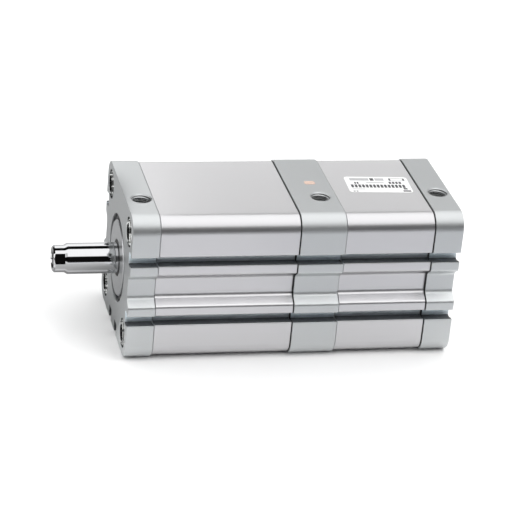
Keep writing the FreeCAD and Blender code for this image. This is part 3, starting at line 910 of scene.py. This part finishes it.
def shaded(colour, factor):
    """A colour made lighter or darker."""
    return tuple(channel * factor for channel in colour)


# %% Kinds of finish
fine_grain = (900, 900, 900)
metal_depth, plain_depth = 0.01 * mm, 0.02 * mm
plain_spread = 0.05
coat_weight, coat_roughness = 1.0, 0.06
slot_roughness, slot_metallic = 0.6, 0.3
# The painted shade in a slot fades out this far below the slot's middle.
painted_shade_edge = 0.4 * mm


def grained(name, colour, roughness, metallic, grain, spread, shade, bump, depth):
    """A finish whose grain shifts colour, roughness and surface a little."""
    material, shader = finish(name, colour, roughness, metallic)
    tree = material.node_tree
    source = noise(tree, grain)
    vary_colour(tree, shader, source, shaded(colour, 1 - shade), shaded(colour, 1 + shade))
    dullness = mapped(tree, source, ramp_low, ramp_high, roughness - spread, roughness + spread)
    bumps = add(tree, "ShaderNodeBump", {"Height": source, "Strength": bump, "Distance": depth})
    tree.links.new(dullness, shader.inputs["Roughness"])
    tree.links.new(bumps.outputs["Normal"], shader.inputs["Normal"])
    return material


def metal(name, colour, roughness, grain=fine_grain, spread=0.05, shade=0.04, bump=0.1):
    """A bare metal."""
    return grained(name, colour, roughness, 1.0, grain, spread, shade, bump, metal_depth)


def plain(name, colour, roughness, grain=fine_grain, shade=0.08, bump=0.15):
    """A rubber, plastic, film or paint with a fine uneven surface."""
    return grained(name, colour, roughness, 0.0, grain, plain_spread, shade, bump, plain_depth)


def head_metal(name, colour):
    """The blasted metal of the heads."""
    return metal(name, colour, 0.46, (1800, 1800, 1800), 0.03, 0.02, 0.08)


def barrel_metal(name, colour):
    """The satin metal of the barrels, under the glassy layer that anodising leaves."""
    material = metal(name, colour, 0.38, (30, 900, 900), 0.01, 0.006, 0.0)
    shader = material.node_tree.nodes["Principled BSDF"]
    shader.inputs["Coat Weight"].default_value = coat_weight
    shader.inputs["Coat Roughness"].default_value = coat_roughness
    return material


def slot_metal(name, colour, dark, light):
    """The dull metal in a sensor slot, with painted shade and light: darker towards the slot's lower wall,
    lighter towards its lip.
    """
    material, shader = finish(name, colour, slot_roughness, slot_metallic)
    tree = material.node_tree
    # The wrap lays the lower slot of a flank over the upper one.
    around = worked_out(tree, "WRAP", split(tree, "Object")["Z"], 2 * flank_slot_offset, 0.0)
    low, high = flank_slot_offset - slot_mouth / 2 - slot_undercut, flank_slot_offset - painted_shade_edge
    height = mapped(tree, around, low, high, ramp_low, ramp_high)
    vary_colour(tree, shader, height, shaded(colour, dark), shaded(colour, light))
    return material


# %% Finishes for the record's slots
# Each has a name, a colour and a roughness, then its grain, where that isn't the fine one. The chrome has
# a spread, a shade and a bump of its own too.
barrel_colour = (0.552, 0.548, 0.559)
head_colour = (0.55, 0.565, 0.57)
slot_finish = {
    "barrel_finish": barrel_metal("satin_extrusion", barrel_colour),
    "head_finish": head_metal("blasted_casting", head_colour),
    "gland_finish": metal("turned_aluminium", (0.55, 0.56, 0.57), 0.35, (300, 2500, 2500)),
    "rod_chrome": metal("ground_chrome", (0.52, 0.525, 0.535), 0.05, (3000, 60, 60), 0.015, 0.01, 0.02),
    "push_rod_steel": metal("ground_steel", (0.72, 0.72, 0.74), 0.18, (2500, 80, 80)),
    "screw_steel": metal("zinc_plated_steel", (0.85, 0.85, 0.83), 0.2, (700, 900, 900)),
    "piston_screw_steel": metal("blackened_steel", (0.10, 0.10, 0.11), 0.4),
    "ring_steel": metal("phosphated_spring_steel", (0.08, 0.08, 0.085), 0.45, (1500, 1500, 1500)),
    "piston_finish": metal("machined_piston", (0.70, 0.70, 0.71), 0.3, (400, 2000, 2000)),
    "bush_bronze": metal("sintered_bronze", (0.55, 0.36, 0.18), 0.42, (1500, 1500, 1500)),
    "seal_rubber": plain("moulded_rubber", (0.012, 0.012, 0.013), 0.45),
    "gasket_rubber": plain("gasket_rubber", (0.008, 0.008, 0.009), 0.6, (1200, 1200, 1200)),
    "bumper_rubber": plain("bumper_rubber", (0.02, 0.02, 0.022), 0.55, (800, 800, 800)),
    "guide_plastic": plain("guide_plastic", (0.08, 0.06, 0.045), 0.5, (1000, 1000, 1000)),
    "magnet_plastic": plain("magnet_compound", (0.03, 0.03, 0.032), 0.5, (1400, 1400, 1400)),
}
print("finishes by slot", len(slot_finish))

# %% Finishes for single walls, film and paint
# Painted highlight on the band's sloped walls: lighter copies of the barrel and head metals.
slope_highlight = 1.2
barrel_slope_painted_highlight = barrel_metal("satin_slope_painted_highlight", shaded(barrel_colour, slope_highlight))
head_slope_painted_highlight = head_metal("blasted_slope_painted_highlight", shaded(head_colour, slope_highlight))
# Painted shade in the slots: copies of the metal, darker towards each slot's lower wall and lighter
# towards its lip.
barrel_recess_painted_shade = slot_metal("extrusion_in_the_slots_painted_shade", (0.52, 0.55, 0.575), 0.85, 1.6)
head_recess_painted_shade = slot_metal("casting_in_the_slots_painted_shade", (0.52, 0.57, 0.60), 1.1, 1.6)
# A near-black painted shade for the upward walls of the slots and for the slots in the bottom.
slot_painted_shade = plain("painted_shade_in_the_slots", (0.065, 0.069, 0.073), 0.7)
# Painted shade in the ports: a much darker copy of the head metal.
port_painted_shade = metal("drilled_port_painted_shade", shaded(head_colour, 0.25), 0.5, (1800, 1800, 1800))
thread_cut = metal("cut_thread", shaded(head_colour, 0.8), 0.3)
milled_wall = metal("milled_counterbore", (0.80, 0.81, 0.81), 0.08, fine_grain, 0.02, 0.04, 0.02)
# Painted shade for the threaded holes of the tie screws and the gap round their flanges.
steel_painted_shade = metal("thread_painted_shade", (0.02, 0.02, 0.02), 0.4)
label_white = plain("label_film", (0.82, 0.82, 0.82), 0.35, (400, 400, 400), 0.01, 0.05)
label_ink = plain("label_print", (0.05, 0.05, 0.055), 0.5, (600, 600, 600))
label_tint = plain("label_field_print", (0.42, 0.42, 0.43), 0.5, (600, 600, 600))
marking_paint = plain("faded_marking_paint", (0.62, 0.45, 0.37), 0.5, fine_grain, 0.2, 0.3)
print("finishes", len(bpy.data.materials))

# %% [markdown]
# ## Putting the finishes on
# Each imported piece takes the finish that the record names for it, and a new mesh takes that of the piece
# it stands for. The walls of slots, ports, counterbores and the sunken band look unlike the faces round
# them, so they are picked by place and direction and get finishes of their own: painted shade in the
# slots and ports, and a painted highlight on the band's sloped walls.

# %% Picking the walls
lip_margin = 0.4 * mm
wall_margin = 0.1 * mm
hole_margin = 0.05 * mm
square_on = 0.5
slope_tilt = 0.3


def below_the_lip(depth):
    """Whether a depth under a face lies inside a slot, past its rounded lip."""
    return lip_margin < depth < slot_depth + wall_margin


def in_a_slot(point, half):
    """Whether a point of the section lies in one of the sensor slots, below its lip."""
    reach = slot_mouth / 2 + slot_undercut + wall_margin
    on_flank = abs(abs(point.z) - flank_slot_offset) < reach and below_the_lip(half - abs(point.y))
    on_floor = abs(abs(point.y) - bottom_slot_offset) < reach and below_the_lip(half + point.z)
    return on_flank or on_floor


def in_a_port(point):
    """Whether a point lies in one of the air ports, below its mouth."""
    spots = [mounts[port]["pos_m"] for port in port_names]
    away = min(math.hypot(point.x - x, point.y - y) for x, y, _ in spots)
    return away < port_radius + hole_margin and 0 < point.z < head_half - port_mouth


def in_a_counterbore(point):
    """Whether a point lies on the wall of a tie screw's counterbore."""
    away = math.hypot(abs(point.y) - tie_reach, abs(point.z) - tie_reach)
    depth = min(front_face_x - point.x, point.x - rear_face_x)
    return away < tie_mouth_radius + hole_margin and rim_break < depth < tie_seat_depth


def along_the_bar(face):
    """Whether a face runs along the axis, as the walls of slots and band do."""
    return abs(face.normal.x) < square_on


def takes_painted_shade(face, half):
    """Whether a wall of a slot faces up or belongs to a slot in the bottom, and so takes the darkest
    painted shade.
    """
    return face.normal.z > square_on or face.center.z < slot_depth + wall_margin - half


def on_a_slope(face):
    """Whether a face belongs to the sloped walls of the band, which get a painted highlight."""
    beside = abs(face.center.z) < ledge_edge + wall_margin and abs(face.center.y) > bore_radius
    return beside and along_the_bar(face) and abs(face.normal.z) > slope_tilt


# %% Dressing the pieces
# Indices of the wall finishes: painted shade in slots and ports, the counterbores, the painted highlight
# on the band's slopes, and the darkest painted shade in the slots.
slot_index, port_index, bore_index, slope_index, painted_shade_index = range(1, 6)


def dress(piece, material):
    """Gives a piece one material all over."""
    piece.data.materials.clear()
    piece.data.materials.append(material)


def dress_recesses(piece, slot_material, slope_material, half):
    """Gives the walls of slots, ports, counterbores and the band materials of their own, painted shade and
    a painted highlight among them.
    """
    for material in (slot_material, port_painted_shade, milled_wall, slope_material, slot_painted_shade):
        piece.data.materials.append(material)
    for face in piece.data.polygons:
        if in_a_port(face.center):
            face.material_index = port_index
        elif in_a_counterbore(face.center):
            face.material_index = bore_index
        elif along_the_bar(face) and in_a_slot(face.center, half):
            face.material_index = painted_shade_index if takes_painted_shade(face, half) else slot_index
        elif on_a_slope(face):
            face.material_index = slope_index
    picked = [face for face in piece.data.polygons if face.material_index]
    print(piece.name, "faces with a finish of their own", len(picked))


def dress_thread_hole(screw):
    """Gives a tie screw's threaded hole and the rim of its flange painted shade, a near-black material."""
    screw.data.materials.append(steel_painted_shade)
    middle = (front_face_x + rear_face_x) / 2
    outside = (front_face_x - rear_face_x) / 2 - tie_recess
    for face in screw.data.polygons:
        away = math.hypot(tie_reach - abs(face.center.y), tie_reach - abs(face.center.z))
        ahead = abs(face.center.x - middle)
        in_hole = away < tie_thread_radius + tie_mouth and outside - tie_thread_depth < ahead < outside
        on_rim = away > tie_flange_radius - tie_chamfer + wall_margin
        face.material_index = int(in_hole or on_rim)


for subpart in frame["record"]["subparts"]:
    dress(frame["nodes"][subpart["node"]], slot_finish[subpart["material_slot"]])
for piece in (front_head, mid_head, rear_head):
    dress(piece, slot_finish["head_finish"])
    dress_recesses(piece, head_recess_painted_shade, head_slope_painted_highlight, head_half)
for piece in (front_barrel, rear_barrel):
    dress(piece, slot_finish["barrel_finish"])
    dress_recesses(piece, barrel_recess_painted_shade, barrel_slope_painted_highlight, barrel_half)
for piece in tie_screws:
    dress(piece, slot_finish["screw_steel"])
    dress_thread_hole(piece)
for piece in port_threads:
    dress(piece, thread_cut)
for piece in (piston_rod, rod_end_thread):
    dress(piece, slot_finish["rod_chrome"])
dress(rod_gland, slot_finish["gland_finish"])
dress(retaining_ring, slot_finish["ring_steel"])
dress(rod_wiper, slot_finish["seal_rubber"])
dress(label, label_white)
dress(label_print, label_ink)
dress(label_fields, label_tint)
dress(marking_dab, marking_paint)

# %% [markdown]
# ## The studio
# Metal shows what is around it, so the studio is designed by its reflections: a bright backdrop low
# behind the object, a broad soft light overhead, and darkness on the camera's side that draws the
# dark lines in the chrome. A world that changes with direction gives all three and hides no view.

# %% World
# Brightness by the share of half a turn, from the backdrop over the top to the camera's side.
studio_bands = [
    (0.000, 0.60), (0.065, 0.60), (0.095, 1.38), (0.165, 1.38),
    (0.190, 1.75), (0.775, 1.75), (0.795, 0.008), (1.000, 0.006),
]
# The share of it that is left along the axis, from the rear to the rod's side.
studio_width = [
    (0.00, 0.45), (0.15, 0.45), (0.22, 1.00), (0.60, 1.00),
    (0.67, 0.45), (0.80, 0.45), (0.87, 1.00), (1.00, 1.00),
]


def grey_ramp(tree, source, levels):
    """A ramp of grey levels, given as (position, level)."""
    curve = add(tree, "ShaderNodeValToRGB", {"Fac": source})
    ramp = curve.color_ramp
    ramp.elements[0].position = levels[0][0]
    ramp.elements[1].position = levels[-1][0]
    for spot, _ in levels[1:-1]:
        ramp.elements.new(spot)
    for element, (_, level) in zip(ramp.elements, levels):
        element.color = (level, level, level, 1)
    return curve.outputs["Color"]


def make_world():
    """A studio whose brightness follows the angle over the object, from backdrop to camera side."""
    world = bpy.data.worlds.new("studio")
    world.use_nodes = True
    tree = world.node_tree
    background = tree.nodes["Background"]
    direction = split(tree, "Generated")
    behind = worked_out(tree, "MULTIPLY", direction["Y"], -1.0)
    angle = worked_out(tree, "ARCTAN2", direction["Z"], behind)
    over = grey_ramp(tree, worked_out(tree, "DIVIDE", angle, math.pi), studio_bands)
    sideways = worked_out(tree, "MULTIPLY_ADD", direction["X"], 0.5, 0.5)
    along = grey_ramp(tree, sideways, studio_width)
    both = worked_out(tree, "MULTIPLY", over, along)
    tree.links.new(both, background.inputs["Strength"])
    background.inputs["Color"].default_value = (1, 1, 1, 1)
    bpy.context.scene.world = world
    return world


print("world", make_world().name)

# %% [markdown]
# ## Floor, lamp and cards
# The floor is white and has no gloss. One broad lamp lights it and the matt pieces, and is kept out of
# reflections, so metal doesn't show it. Cards and flags do the opposite: as in a photographer's studio
# they darken or lift single faces, and they are seen only in reflections.

# %% Floor and lamp
floor_reach = 6.0
floor_colour = (0.98, 0.98, 0.98)
matt_roughness = 0.9
fill_place = Vector((-0.7, 0.7, 1.4))
fill_size = 0.8
fill_energy = 5.0


def matt(name, colour):
    """A finish without any gloss."""
    material, shader = finish(name, colour, matt_roughness)
    shader.inputs["Specular IOR Level"].default_value = 0.0
    return material


def make_floor():
    """A wide pale floor that the cylinder lies on."""
    bpy.ops.object.select_all(action="DESELECT")
    bpy.ops.mesh.primitive_circle_add(radius=floor_reach, vertices=96, fill_type="NGON",
                                      location=(0, 0, floor_z))
    floor = bpy.context.object
    floor.name = "studio_floor"
    dress(floor, matt("white_sweep", floor_colour))
    return floor


def make_fill_lamp():
    """A broad lamp from the camera's right, for the floor and the matt pieces alone."""
    bpy.ops.object.select_all(action="DESELECT")
    bpy.ops.object.light_add(type="AREA", location=fill_place)
    lamp = bpy.context.object
    lamp.name = "fill_lamp"
    lamp.data.energy = fill_energy
    lamp.data.size = fill_size
    lamp.rotation_euler = (aim_point - fill_place).to_track_quat("-Z", "Y").to_euler()
    lamp.visible_glossy = False
    return lamp


print("made", make_floor().name, "and", make_fill_lamp().name)

# %% Cards and flags
card_gap = 0.5 * mm
card_z = floor_z + card_gap
black, charcoal, dim = (0.005, 0.005, 0.005), (0.05, 0.05, 0.05), (0.35, 0.35, 0.35)
grey, pale = (0.41, 0.41, 0.41), (0.7, 0.7, 0.7)
soft, light = (0.755, 0.765, 0.795), (0.87, 0.875, 0.90)
# Each as (name, low corner, high corner, height, colour), the corners as x and y in millimetres.
cards = [
    ("dark_mat", (-6000.0, 450.0), (6000.0, 6000.0), card_z, charcoal),
    ("grey_card", (0.0, -500.0), (500.0, 4.0), card_z, grey),
    ("front_card", (-100.0, 85.0), (20.0, 450.0), card_z, light),
    ("rear_card", (-600.0, 85.0), (-100.0, 450.0), card_z, soft),
    ("rod_flag", (-5.0, -35.0), (75.0, -2.7), 60 * mm, black),
    ("body_flag", (-600.0, -300.0), (-62.0, -110.0), 200 * mm, dim),
    ("side_flag", (90.0, -600.0), (420.0, -70.0), 145 * mm, black),
    ("rod_card", (0.0, 10.0), (60.0, 72.0), -12 * mm, pale),
]


def make_card(name, low, high, height, colour):
    """A level card that is seen only in reflections."""
    bpy.ops.object.select_all(action="DESELECT")
    middle = (low + high) / 2
    bpy.ops.mesh.primitive_plane_add(size=1.0, location=(middle.x, middle.y, height))
    card = bpy.context.object
    card.name = name
    card.scale = (high.x - low.x, high.y - low.y, 1)
    bpy.ops.object.transform_apply(location=False, rotation=False, scale=True)
    dress(card, matt(name + "_card", colour))
    card.visible_camera = False
    card.visible_diffuse = False
    card.visible_shadow = False
    card.visible_transmission = False
    return card


for name, low, high, height, colour in cards:
    make_card(name, Vector(low) * mm, Vector(high) * mm, height, colour)
bpy.context.scene.view_settings.view_transform = "Standard"
print("cards", len(cards))
